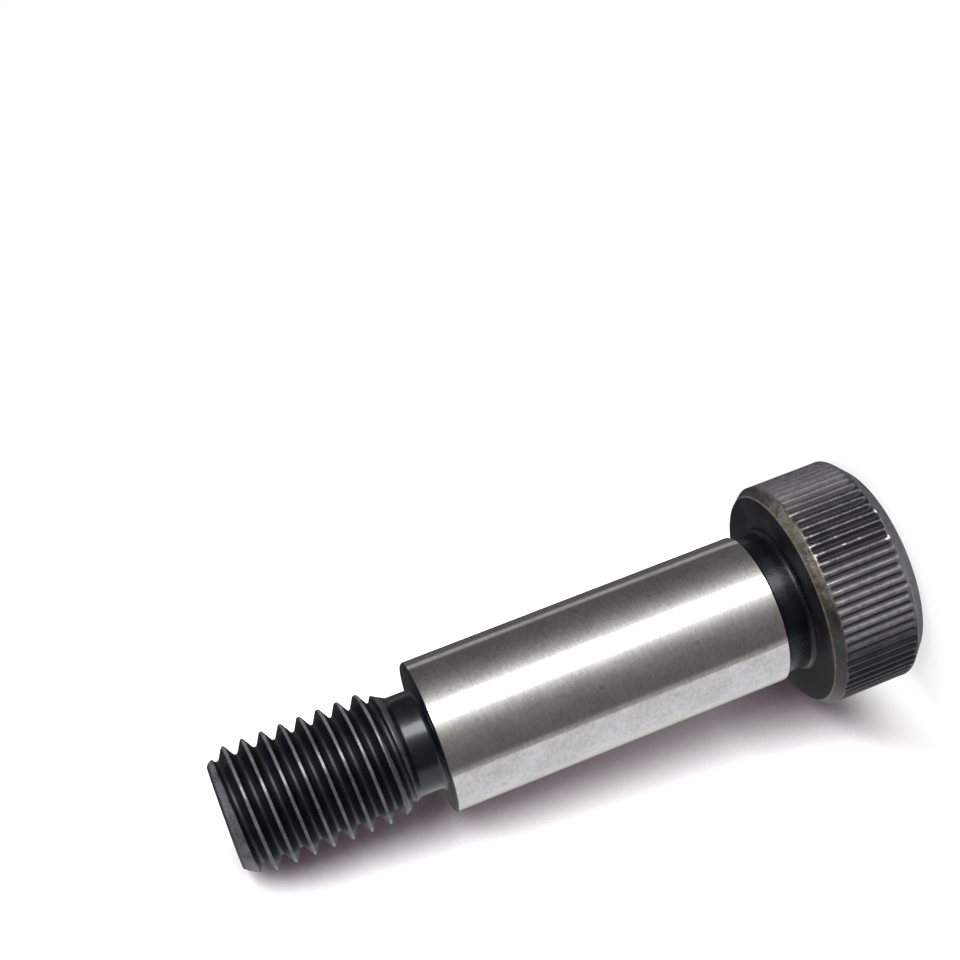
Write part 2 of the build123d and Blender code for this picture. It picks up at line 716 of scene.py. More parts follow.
@dataclass(frozen=True)
class ThreadOxide(BlackOxide):
    """Glossy black oxide on the thread, thinner on the crests."""

    bare: Colour = (0.34, 0.335, 0.355)
    roughness: float = 0.24
    crest_radius: float = 5.0
    root_radius: float = 4.08
    ramp_end: float = 41.8
    tip_start: float = 52.6
    cone_angle: float = math.radians(30)    # of the run-out's ramp and the tip's chamfer to the axis
    crest_depth: Span = (0.08, 0.015)       # below the crests, where the film thins
    cone_depth: Span = (0.09, 0.03)         # below either cone, where the film thins
    cone_reach: Span = (0.2, 1.3)           # along the axis past the end of the full thread
    root_edge: Span = (0.05, 0.6)           # above the root, over which the die's marks fade
    root_start: Span = (-1.7, -0.6)         # above the ramp's end, where those marks start
    root_dulling: float = 0.22
    crest_gloss: float = 0.07
    thinning: float = 0.42

    def matt(self, place: Place) -> Wire | float:
        """Roughness, more towards the root, where the die leaves its marks, and less on crests.

        Args:
            place: the shading point.

        Returns:
            The roughness.
        """
        low, high = self.root_edge
        start, full = self.root_start
        root = place.radius.fall(self.root_radius + low, self.root_radius + high)
        root = root * place.height.rise(self.ramp_end + start, self.ramp_end + full)
        return self.roughness + root * self.root_dulling - self.along_crest(place) * self.crest_gloss

    def along_crest(self, place: Place) -> Wire:
        """1 on the crests' flats."""
        foot, top = self.crest_depth
        return place.radius.rise(self.crest_radius - foot, self.crest_radius - top)

    def wear(self, texture: Texture) -> Wire:
        """Thin film along the crests, where the thread runs out and on the tip's chamfer.

        Args:
            texture: what the finish varies with.

        Returns:
            The mask.
        """
        place = texture.place
        past = (place.height - self.tip_start).either(self.ramp_end - place.height)
        blank = self.crest_radius - past * math.tan(self.cone_angle)
        foot, top = self.cone_depth
        cone = (place.radius - blank).rise(-foot, -top) * past.band(*self.cone_reach, 0.2)
        cone = cone * (place.height.rise(self.ramp_end, self.tip_start) * 0.4 + 0.4)
        patchy = texture.patches(0.4, (0.30, 0.70)).at_least(0.15)
        return self.along_crest(place).either(cone) * patchy * self.thinning


# --------------------------------------------------------------------------------------------
# Sizes
# --------------------------------------------------------------------------------------------


@dataclass(frozen=True)
class BoltSizes:
    """Sizes that several sub-assemblies share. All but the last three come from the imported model."""

    head_radius: float
    bearing_z: float
    shoulder_radius: float
    shoulder_low: float
    shoulder_high: float
    end_face_z: float
    thread_radius: float
    thread_low: float
    thread_high: float
    tip_z: float
    neck_relief: float = 0.4        # how far the neck lies below the shoulder
    neck_fillet: float = 0.4
    shoulder_edge: float = 0.12     # the shoulder's broken corners

    @classmethod
    def from_frame(cls, packed: dict[str, Any]) -> "BoltSizes":
        """Reads the sizes.


        Returns:
            The sizes, in millimetres.
        """
        mounts = {mount["name"]: mount for mount in packed["record"]["mounts"]}
        low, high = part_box(NODE)
        shoulder, thread = mounts["shoulder"], mounts["thread"]

        def middle(mount: dict[str, Any]) -> float:
            """Height of a mount's point."""
            return mount["pos_m"][2] / MM

        def half(mount: dict[str, Any]) -> float:
            """Half a mount's length."""
            return mount["dims"]["length_mm"] / 2

        return cls(
            head_radius=(high.x - low.x) / 2 / MM,
            bearing_z=middle(mounts["under_head"]),
            shoulder_radius=shoulder["dims"]["r_mm"],
            shoulder_low=middle(shoulder) - half(shoulder),
            shoulder_high=middle(shoulder) + half(shoulder),
            end_face_z=middle(mounts["shoulder_end"]),
            thread_radius=thread["dims"]["r_mm"],
            thread_low=middle(thread) - half(thread),
            thread_high=middle(thread) + half(thread),
            tip_z=high.z / MM,
        )


# --------------------------------------------------------------------------------------------
# Turned surfaces
# --------------------------------------------------------------------------------------------


@dataclass
class TurnedSkin:
    """Rings of points round the axis, each ring joined to the next."""

    name: str
    columns: int
    radii: list[np.ndarray] = field(default_factory=list)
    heights: list[np.ndarray] = field(default_factory=list)

    def angles(self) -> np.ndarray:
        """Angle of each column, in radians."""
        return np.arange(self.columns) * (2 * math.pi / self.columns)

    def ring(self, radius: np.ndarray | float, height: np.ndarray | float) -> None:
        """Adds a ring.

        Args:
            radius: its radius, one value or one for each column.
            height: its height, in the same way.
        """
        self.radii.append(np.broadcast_to(np.asarray(radius, float), (self.columns,)).copy())
        self.heights.append(np.broadcast_to(np.asarray(height, float), (self.columns,)).copy())

    def follow(self, outline: Sequence[Point]) -> None:
        """Adds a ring at each point of an outline."""
        for radius, height in outline:
            self.ring(radius, height)

    def build(self, crease: float, outward: bool = True) -> bpy.types.Object:
        """Makes the mesh object.

        Args:
            crease: angle in degrees above which an edge is shaded sharp.
            outward: whether rings that go up have their outside away from the axis.

        Returns:
            The object, linked to the scene.
        """
        points = around(np.array(self.radii), np.array(self.heights), self.angles())
        rows = len(self.radii)
        grid = np.arange(rows * self.columns).reshape(rows, self.columns)
        right = np.roll(grid, -1, axis=1)
        quads = np.stack([grid[:-1], right[:-1], right[1:], grid[1:]], -1).reshape(-1, 4)
        if not outward:
            quads = quads[:, ::-1]
        return skin_object(self.name, points, quads, crease)


def around(radii: np.ndarray, heights: np.ndarray, angles: np.ndarray) -> np.ndarray:
    """Turns rows of radii and heights into points.

    Args:
        radii: one row for each ring, one column for each angle.
        heights: in the same way.
        angles: in radians.

    Returns:
        The points in metres, one to a row.
    """
    points = np.stack([radii * np.cos(angles), radii * np.sin(angles), heights], -1) * MM
    return points.reshape(-1, 3)


def skin_object(name: str, points: np.ndarray, quads: np.ndarray, crease: float) -> bpy.types.Object:
    """Makes a smooth-shaded mesh object from points and quads.

    Args:
        name: the object's name.
        points: one row for each point, in metres.
        quads: one row of four point numbers for each face.
        crease: angle in degrees above which an edge is shaded sharp.

    Returns:
        The object, linked to the scene.
    """
    mesh = bpy.data.meshes.new(name)
    mesh.from_pydata(points.tolist(), [], quads.tolist())
    shell = bmesh.new()
    shell.from_mesh(mesh)
    bmesh.ops.remove_doubles(shell, verts=shell.verts, dist=WELD_M)
    bmesh.ops.dissolve_degenerate(shell, edges=shell.edges, dist=WELD_M)
    for face in shell.faces:
        face.smooth = True
    limit = math.radians(crease)
    for edge in shell.edges:
        if len(edge.link_faces) == 2:
            edge.smooth = edge.calc_face_angle() < limit
    shell.to_mesh(mesh)
    shell.free()
    return link(bpy.data.objects.new(name, mesh))


def link(thing: bpy.types.Object) -> bpy.types.Object:
    """Links an object to the scene and gives it back."""
    bpy.context.scene.collection.objects.link(thing)
    return thing


def rounded(start: Point, corner: Point, end: Point, radius: float, steps: int) -> list[Point]:
    """Points of an arc that rounds a corner of an outline.

    Args:
        start: a point before the corner: radius and height.
        corner: the corner.
        end: a point after it.
        radius: the arc's radius.
        steps: number of chords.

    Returns:
        The arc's points from its start to its end.
    """
    tip = Vector(corner)
    back, ahead = (Vector(start) - tip).normalized(), (Vector(end) - tip).normalized()
    half = back.angle(ahead) / 2
    middle = tip + (back + ahead).normalized() * (radius / math.sin(half))
    first = tip + back * (radius / math.tan(half)) - middle
    side = 1.0 if first.x * ahead.y > first.y * ahead.x else -1.0
    turn = side * (math.pi - 2 * half)
    points = []
    for step in range(steps + 1):
        angle = turn * step / steps
        cosine, sine = math.cos(angle), math.sin(angle)
        x = middle.x + first.x * cosine - first.y * sine
        y = middle.y + first.x * sine + first.y * cosine
        points.append((x, y))
    return points


def between(start: Point, end: Point, count: int) -> list[Point]:
    """Evenly spaced points strictly between two points of an outline."""
    shares = np.linspace(0, 1, count + 2)[1:-1]
    return [(start[0] + (end[0] - start[0]) * s, start[1] + (end[1] - start[1]) * s) for s in shares]


def dress(piece: bpy.types.Object, material: bpy.types.Material, slot: Slot) -> bpy.types.Object:
    """Gives a piece its finish and its body, and hides the CAD node.

    Args:
        piece: the object.
        material: its material.
        slot: not used.

    Returns:
        The same object.
    """
    piece.data.materials.append(material)
    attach(piece, BODY)
    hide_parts(NODE)
    LOG.info("%s: %d faces", piece.name, len(piece.data.polygons))
    return piece


# --------------------------------------------------------------------------------------------
# Sub-assemblies
# --------------------------------------------------------------------------------------------


def wander(number: np.ndarray, pace: float, sway: float, sway_pace: float) -> np.ndarray:
    """Changes from one ridge or groove to the next without an order that shows.

    Args:
        number: the ridge's or groove's number.
        pace: turn from one to the next, in radians.
        sway: how far that turn itself swings.
        sway_pace: how fast it swings.

    Returns:
        A value between -1 and 1 for each number.
    """
    return np.sin(number * pace + sway * np.sin(number * sway_pace))


@dataclass
class Head:
    """Knurled head with a bevel under the bearing face and a hexagon socket."""

    sizes: BoltSizes
    chamfer: float = 1.15
    face_ring: float = 1.2          # outer part of the socket face, which the head's skin holds
    bevel_in: float = 0.6
    bevel_height: float = 0.75
    edge_rounding: float = 0.10
    rim_rounding: float = 0.25      # between socket face and chamfer
    ridges: int = 72
    ridge_depth: float = 0.25
    crest_share: float = 0.20       # a ridge's flat top, as a share of half the pitch
    crest_softness: float = 0.08
    groove_softness: float = 0.15
    ridge_spread: float = 0.018     # how much lower the lowest ridge is than the highest
    knurl_low: float = 1.22
    knurl_high: float = 7.2
    run_out: float = 0.42           # length over which a groove comes up at its end
    end_spread: float = 0.07        # how far grooves end out of line
    run_out_rows: int = 9
    middle_rows: int = 4
    samples_per_ridge: int = 20
    across_flats: float = 6.0
    socket_depth: float = 5.0
    lead_in: float = 0.25           # how far the countersink passes the hexagon's corners
    cone_angle: float = 120.0       # of countersink and drilled bottom, in degrees
    mouth_rounding: Span = (0.06, 0.02)     # of the countersink's rim: across and down
    lip_rounding: Span = (0.04, 0.03)       # of the hexagon's lip: up the countersink and down
    floor_corner: float = 0.08              # between the hexagon's wall and its floor

    def knurl_depth(self, angles: np.ndarray) -> tuple[np.ndarray, np.ndarray]:
        """Depth of the rolled surface at each angle, with slightly uneven ridges.

        Args:
            angles: in radians.

        Returns:
            The depths, and for each the number of its groove.
        """
        turns = angles / (2 * math.pi) * self.ridges
        number = np.round(turns)
        off_middle = np.abs(turns - number) * 2
        run = (off_middle - self.crest_share) / self.crest_softness
        full = (1 - self.crest_share) / self.crest_softness
        left = 1 - np.log1p(np.exp(run)) / math.log1p(math.exp(full))
        soft = self.groove_softness
        dip = 1 - (np.hypot(left, soft) - soft) / (math.hypot(1, soft) - soft)
        lower = 0.5 + 0.5 * wander(number, 2.399, 1.3, 0.71)
        return self.ridge_depth * dip + self.ridge_spread * lower * (1 - off_middle), np.floor(turns)

    def run_out_share(self, height: float, grooves: np.ndarray) -> np.ndarray:
        """Share of the knurl's depth at a height: its grooves end round and not quite in line.

        Args:
            height: the ring's height.
            grooves: number of the groove that each column belongs to.

        Returns:
            The share for each column.
        """
        shift = self.end_spread * wander(grooves, 1.93, 0.6, 0.37)
        inside = np.minimum(height - self.knurl_low - shift, self.knurl_high - shift - height)
        return np.sqrt(np.clip(1 - (1 - np.clip(inside / self.run_out, 0, 1)) ** 2, 0, 1))

    def side_outline(self) -> list[Point]:
        """Outline from the socket face up the side and over the bevel to the neck's fillet.

        Returns:
            Its points: radius and height.
        """
        head, top = self.sizes.head_radius, self.sizes.bearing_z
        face_rim = (head - self.chamfer, 0.0)
        chamfer_top = (head, self.chamfer)
        bevel_low = (head, top - self.bevel_height)
        bevel_high = (head - self.bevel_in, top)
        inner = (self.sizes.shoulder_radius - self.sizes.neck_relief + self.sizes.neck_fillet, top)
        outline = [(face_rim[0] - self.face_ring, 0.0)]
        outline += rounded((0, 0), face_rim, chamfer_top, self.rim_rounding, steps=5)
        outline += between(outline[-1], chamfer_top, 2)
        outline += rounded(face_rim, chamfer_top, bevel_low, self.edge_rounding, steps=4)
        outline += self.knurled_rows()
        outline += rounded(chamfer_top, bevel_low, bevel_high, self.edge_rounding, steps=4)
        outline += between(outline[-1], bevel_high, 4)
        outline += rounded(bevel_low, bevel_high, inner, self.edge_rounding, steps=4)
        outline += [inner]
        return outline

    def knurled_rows(self) -> list[Point]:
        """Points up the side, close together where the grooves run out.

        Returns:
            The points: radius and height.
        """
        low, high = self.knurl_low - self.end_spread, self.knurl_high + self.end_spread
        reach = self.run_out + 2 * self.end_spread
        turns = [math.pi / 2 * row / self.run_out_rows for row in range(1, self.run_out_rows + 1)]
        steps = [(1 - math.cos(turn)) * reach for turn in turns]
        heights = [low + step for step in steps]
        heights += list(np.linspace(low + reach, high - reach, self.middle_rows + 2)[1:-1])
        heights += [high - step for step in reversed(steps)]
        top = self.sizes.bearing_z - self.bevel_height - self.edge_rounding / 2
        return [(self.sizes.head_radius, height) for height in heights if height < top]

    def build_skin(self) -> bpy.types.Object:
        """Outer surface of the head: face, chamfer, knurl, bevel and bearing face.

        Returns:
            The piece.
        """
        skin = TurnedSkin("head", self.ridges * self.samples_per_ridge)
        depth, grooves = self.knurl_depth(skin.angles())
        for radius, height in self.side_outline():
            share = self.run_out_share(height, grooves)
            skin.ring(np.minimum(radius, self.sizes.head_radius - depth * share), height)
        return skin.build(crease=60)

    def build_socket(self) -> bpy.types.Object:
        """Socket face, countersink, hexagon and drilled bottom.

        Returns:
            The piece.
        """
        skin = TurnedSkin("hexagon_socket", self.ridges * self.samples_per_ridge)
        slope = math.tan(math.radians(self.cone_angle / 2))
        sixth = math.pi / 3
        flat = self.across_flats / 2
        wall = flat / np.cos(np.mod(skin.angles(), sixth) - sixth / 2)
        mouth = flat / math.cos(sixth / 2) + self.lead_in
        lip = (mouth - wall) / slope
        mouth_across, mouth_down = self.mouth_rounding
        lip_up, lip_down = self.lip_rounding
        skin.ring(self.sizes.head_radius - self.chamfer - self.face_ring, 0.0)
        skin.ring(mouth + mouth_across, 0.0)
        skin.ring(mouth, mouth_down)
        skin.ring(wall + lip_up * slope, np.maximum(lip - lip_up, lip_down))
        skin.ring(wall, lip + lip_down)
        for share in (0.3, 0.65, 0.97):
            skin.ring(wall, lip + (self.socket_depth - lip) * share)
        skin.ring(wall - self.floor_corner, self.socket_depth)
        skin.ring(flat, self.socket_depth)
        for share in (0.6, 0.25, 0.0005):
            skin.ring(flat * share, self.socket_depth + flat * (1 - share) / slope)
        return skin.build(crease=38, outward=False)

    def dress(self, patina_angle: float) -> list[bpy.types.Object]:
        """Builds and finishes the head.

        Args:
            patina_angle: where round the head its bevel is most worn, in radians.

        Returns:
            The head's pieces.
        """
        finish = KnurledOxide(
            "black_oxide_head",
            crest_radius=self.sizes.head_radius,
            rim_radius=self.sizes.head_radius - self.bevel_in,
            bevel_start=self.sizes.bearing_z - self.bevel_height,
            chamfer=self.chamfer,
            groove_depth=self.ridge_depth,
            patina_angle=patina_angle,
        )
        socket_finish = BlackOxide("black_oxide_socket", roughness=0.42)
        return [
            dress(self.build_skin(), finish.build(), Slot.BLACK),
            dress(self.build_socket(), socket_finish.build(), Slot.BLACK),
        ]


@dataclass
class Neck:
    """Turned neck between the bearing face and the ground length."""

    sizes: BoltSizes
    step_fillet: float = 0.12       # under the step up to the shoulder
    columns: int = 320

    def build(self) -> bpy.types.Object:
        """Fillet, neck and the narrow step up to the shoulder.

        Returns:
            The piece.
        """
        skin = TurnedSkin("neck", self.columns)
        radius = self.sizes.shoulder_radius - self.sizes.neck_relief
        low, high = self.sizes.bearing_z, self.sizes.shoulder_low - self.sizes.shoulder_edge
        foot, head = (radius, low), (radius, high)
        beside_foot = (radius + 2 * self.sizes.neck_fillet, low)
        beside_head = (self.sizes.shoulder_radius, high)
        fillet = rounded(beside_foot, foot, head, self.sizes.neck_fillet, steps=10)
        step = rounded(foot, head, beside_head, self.step_fillet, steps=4)
        skin.follow(fillet + between(fillet[-1], step[0], 6) + step)
        skin.ring(self.sizes.shoulder_radius - self.sizes.shoulder_edge, high)
        return skin.build(crease=50)

    def dress(self) -> bpy.types.Object:
        """Builds and finishes the neck."""
        finish = BlackOxide("black_oxide_neck", roughness=0.27, ior=1.34, oil_depth=0.05)
        return dress(self.build(), finish.build(), Slot.BLACK)


@dataclass
class Shoulder:
    """Ground cylinder with its lower corner broken; the upper one belongs to the groove's piece."""

    sizes: BoltSizes
    corner_rounding: float = 0.06
    columns: int = 512

    def build(self) -> bpy.types.Object:
        """The ground surface and its lower broken corner.

        Returns:
            The piece.
        """
        skin = TurnedSkin("ground_shoulder", self.columns)
        radius, edge = self.sizes.shoulder_radius, self.sizes.shoulder_edge
        corner, top = (radius, self.sizes.shoulder_low), (radius, self.sizes.shoulder_high)
        below = (radius - edge, self.sizes.shoulder_low - edge)
        lower = rounded(below, corner, top, self.corner_rounding, steps=3)
        skin.follow([below] + lower + between(lower[-1], top, 24) + [top])
        return skin.build(crease=50)

    def dress(self) -> bpy.types.Object:
        """Builds and finishes the shoulder."""
        return dress(self.build(), GroundSteel().build(), Slot.GROUND)


@dataclass
class Thread:
    """Right-hand metric thread with its relief groove and chamfered tip."""

    sizes: BoltSizes
    pitch: float = 1.5
    first_crest: float = 1.115      # from the end face, at azimuth 0
    groove_below_root: float = 0.13
    groove_fillet: float = 0.5
    groove_plain: float = 1.95      # from the end face up to where the threaded skin takes over
    cone_angle: float = math.radians(30)    # of the run-out's ramp to the axis
    flank_angle: float = math.radians(60)   # of a flank to the axis
    crest_flat: float = 0.125       # a crest's flat, as a share of the pitch
    root_rounding: float = 0.1443   # radius at the root, as a share of the pitch
    crest_softness: float = 0.02
    tip_rounding: float = 0.25      # length over which the tip's rim is rounded
    tip_fall: float = 0.45          # how far it is rounded in, as a share of that
    columns: int = 256

    def root_radius(self) -> float:
        """Radius at the bottom of the thread."""
        return self.sizes.thread_radius - THREAD_DEPTH * self.pitch

    def groove_radius(self) -> float:
        """Radius at the bottom of the relief groove."""
        return self.root_radius() - self.groove_below_root

    def start_height(self) -> float:
        """Height on the plain groove where the threaded skin takes over."""
        return self.sizes.end_face_z + self.groove_plain

    def profile_depth(self, along: np.ndarray) -> np.ndarray:
        """Depth of the thread below its crest.

        Args:
            along: distance along the axis from the middle of a crest, in pitches.

        Returns:
            The depth in millimetres.
        """
        run = np.abs(along - np.round(along)) * self.pitch
        flank = math.tan(self.flank_angle) * (run - self.crest_flat * self.pitch / 2)
        soft = self.crest_softness * np.log1p(np.exp(flank / self.crest_softness))
        rounding = self.root_rounding * self.pitch
        middle = self.sizes.thread_radius - self.root_radius() - rounding
        beside = np.clip(self.pitch / 2 - run, 0, rounding)
        arc = middle + np.sqrt(rounding**2 - beside**2)
        return np.where(self.pitch / 2 - run < rounding * math.sin(self.flank_angle), arc, soft)

    def envelope(self, height: np.ndarray) -> np.ndarray:
        """Radius of the turned blank: groove, ramp, crests and tip chamfer.

        Args:
            height: where along the axis.

        Returns:
            The radius at each height.
        """
        crest, root, groove = self.sizes.thread_radius, self.root_radius(), self.groove_radius()
        low, high, tip = self.sizes.thread_low, self.sizes.thread_high, self.sizes.tip_z
        ramp_start = low - (crest - groove) / math.tan(self.cone_angle)
        radius = np.interp(height, [ramp_start, low, high, tip], [groove, crest, crest, root])
        near_tip = np.clip((height - (tip - self.tip_rounding)) / self.tip_rounding, 0, 1)
        return radius - self.tip_rounding * self.tip_fall * near_tip**2

    def row_offsets(self) -> list[float]:
        """Where rows lie within one pitch, closer at crest edges and root, in pitches."""
        half = [0.0, 0.03, 0.052, 0.065, 0.08, 0.11, 0.17, 0.24, 0.31, 0.37, 0.41, 0.455]
        return half + [0.5] + [1 - value for value in reversed(half[1:])]

    def build_thread(self) -> bpy.types.Object:
        """The helical skin from the groove to the tip's rim.

        Returns:
            The piece.
        """
        lead = np.arange(self.columns) / self.columns * self.pitch
        offsets = self.row_offsets()
        low, high = self.start_height(), self.sizes.tip_z
        first = self.sizes.end_face_z + self.first_crest
        pitches = math.ceil((high - self.sizes.end_face_z) / self.pitch)
        heights, radii = [], []
        for number in range(-2, pitches + 2):
            for offset in offsets:
                height = np.clip(first + (number + offset) * self.pitch + lead, low, high)
                along = (height - first - lead) / self.pitch
                radius = self.sizes.thread_radius - self.profile_depth(along)
                radii.append(np.minimum(radius, self.envelope(height)))
                heights.append(height)
        return self.helical_object(np.array(radii), np.array(heights), len(offsets))

    def helical_object(self, radii: np.ndarray, heights: np.ndarray, per_pitch: int) -> bpy.types.Object:
        """Joins helical rows, each of which runs on into the row one pitch up.

        Args:
            radii: one row for each line along the helix.
            heights: in the same way.
            per_pitch: number of rows in one pitch.

        Returns:
            The object.
        """
        rows = len(radii)
        angles = np.arange(self.columns) * (2 * math.pi / self.columns)
        grid = np.arange(rows * self.columns).reshape(rows, self.columns)
        usable = grid[: rows - per_pitch]
        after = np.concatenate([usable[:, 1:], grid[per_pitch:, :1]], axis=1)
        quads = np.stack([usable[:-1], after[:-1], after[1:], usable[1:]], -1).reshape(-1, 4)
        return skin_object("thread", around(radii, heights, angles), quads, crease=40)

    def build_tip(self) -> bpy.types.Object:
        """Flat face at the tip, very slightly hollow.

        Returns:
            The piece.
        """
        skin = TurnedSkin("tip_face", self.columns)
        rim = float(self.envelope(np.array([self.sizes.tip_z]))[0])
        for share, drop in ((1.0, 0.0), (0.97, 0.0), (0.8, 0.012), (0.4, 0.03), (0.0005, 0.035)):
            skin.ring(rim * share, self.sizes.tip_z - drop)
        return skin.build(crease=50)

    def build_groove(self) -> bpy.types.Object:
        """Shoulder's upper broken corner and end face, fillet and plain groove.

        Returns:
            The piece.
        """
        skin = TurnedSkin("relief_groove", self.columns)
        top = self.start_height()
        rim = (self.sizes.shoulder_radius - self.sizes.shoulder_edge, self.sizes.end_face_z)
        foot = (self.groove_radius(), self.sizes.end_face_z)
        skin.ring(self.sizes.shoulder_radius, self.sizes.shoulder_high)
        skin.follow([rim] + rounded(rim, foot, (foot[0], top), self.groove_fillet, steps=10))
        skin.ring(foot[0], top)
        return skin.build(crease=50)

    def dress(self) -> list[bpy.types.Object]:
        """Builds and finishes the threaded end.

        Returns:
            Its pieces.
        """
        thread_finish = ThreadOxide(
            "black_oxide_thread",
            crest_radius=self.sizes.thread_radius,
            root_radius=self.root_radius(),
            ramp_end=self.sizes.thread_low,
            tip_start=self.sizes.thread_high,
            cone_angle=self.cone_angle,
        )
        groove_finish = BlackOxide("black_oxide_groove", roughness=0.20, ior=1.53, oil_depth=0.02)
        oxide = thread_finish.build()
        return [
            dress(self.build_thread(), oxide, Slot.BLACK),
            dress(self.build_tip(), oxide, Slot.BLACK),
            dress(self.build_groove(), groove_finish.build(), Slot.BLACK),
        ]


# --------------------------------------------------------------------------------------------
# Studio
# --------------------------------------------------------------------------------------------


def direction(azimuth: float, lift: float = 0.0) -> Vector:
    """Unit vector at an angle round the bolt and an angle above the floor."""
    return Vector((math.cos(azimuth) * math.cos(lift), math.sin(azimuth) * math.cos(lift), math.sin(lift)))


def looking(eye: Vector, target: Vector) -> Matrix:
    """Level placement of a camera or lamp at a point, looking at another, in metres."""
    turn = (target - eye).to_track_quat("-Z", "Y").to_matrix().to_4x4()
    return Matrix.Translation(eye) @ turn


def stage_piece(name: str, points: list[Vector], faces: list[Sequence[int]],
                material: bpy.types.Material, unseen_by: Sequence[str]) -> None:
    """Adds a piece of the studio, which isn't part of the bolt.

    Args:
        name: its name.
        points: its points, in metres.
        faces: its faces, as numbers of points.
        material: its material.
        unseen_by: kinds of rays that pass it by.
    """
    mesh = bpy.data.meshes.new(name)
    mesh.from_pydata(points, [], faces)
    mesh.materials.append(material)
    piece = link(bpy.data.objects.new(name, mesh))
    for ray in unseen_by:
        setattr(piece, f"visible_{ray}", False)
    piece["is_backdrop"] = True


@dataclass(frozen=True)
class Viewpoint:
    """Camera beside the standing bolt, rolled so that the bolt lies in the frame."""

    azimuth: float = math.radians(-87.5)
    distance: float = 130.566
    height: float = 51.656
    aim_side: float = 17.126
    aim_height: float = 26.942
    roll: float = math.radians(-110.152)
    lens_mm: float = 64.11
    sensor_mm: float = 36.0
    clip_m: Span = (0.005, 20.0)

    def build(self) -> None:
        """Makes the scene's camera."""
        sideways = direction(self.azimuth + math.pi / 2)
        eye = direction(self.azimuth) * self.distance + Vector((0, 0, self.height))
        target = sideways * self.aim_side + Vector((0, 0, self.aim_height))
        data = bpy.data.cameras.new("camera")
        data.lens = self.lens_mm
        data.sensor_width = self.sensor_mm
        data.clip_start, data.clip_end = self.clip_m
        camera = link(bpy.data.objects.new("camera", data))
        camera.matrix_world = looking(eye * MM, target * MM) @ Matrix.Rotation(self.roll, 4, "Z")
        bpy.context.scene.camera = camera


@dataclass(frozen=True)
class Surround:
    """White surround; its light on the bolt is a plain studio fill."""

    fill: Colour = (0.97, 0.96, 1.0)
    fill_strength: float = 0.30

    def build(self) -> None:
        """Makes the world."""
        world = bpy.data.worlds.new("studio")
        world.use_nodes = True
        bpy.context.scene.world = world
        graph = Graph(world.node_tree)
        fill = graph.background(self.fill, self.fill_strength)
        white = graph.background(WHITE, 1.0)
        graph.finish(graph.mix(graph.seen(), fill, white), "ShaderNodeOutputWorld")


@dataclass(frozen=True)
class Floor:
    """Pale plane under the head, out of the reflections, whiter far off and along the sheet's foot."""

    sheet: "Backdrop"
    half_m: float = 6.0
    paper: Colour = (0.90, 0.89, 0.90)
    whiteness: float = 0.75             # near the bolt
    far: Span = (30.0, 80.0)            # distance from the axis over which it turns white
    beside_sheet: Span = (1.0, 9.0)     # distance from the sheet's foot over which white ends

    def build(self) -> None:
        """Makes the floor."""
        signs = ((-1, -1), (1, -1), (1, 1), (-1, 1))
        corners = [Vector((x * self.half_m, y * self.half_m, 0)) for x, y in signs]
        stage_piece("floor", corners, [(0, 1, 2, 3)], self.material(), ["glossy"])

    def material(self) -> bpy.types.Material:
        """Pale paper that is partly white of itself.

        Returns:
            The material.
        """
        material, graph = new_material("floor_paper")
        place = graph.place()
        white = place.radius.rise(*self.far).at_least(self.whiteness)
        to_sheet = place.toward(self.sheet.azimuth) + self.sheet.foot
        white = white.either(abs(to_sheet).fall(*self.beside_sheet))
        paper, light = graph.diffuse(self.paper), graph.emission(WHITE)
        graph.finish(graph.mix(graph.seen() * white, paper, light))
        return material


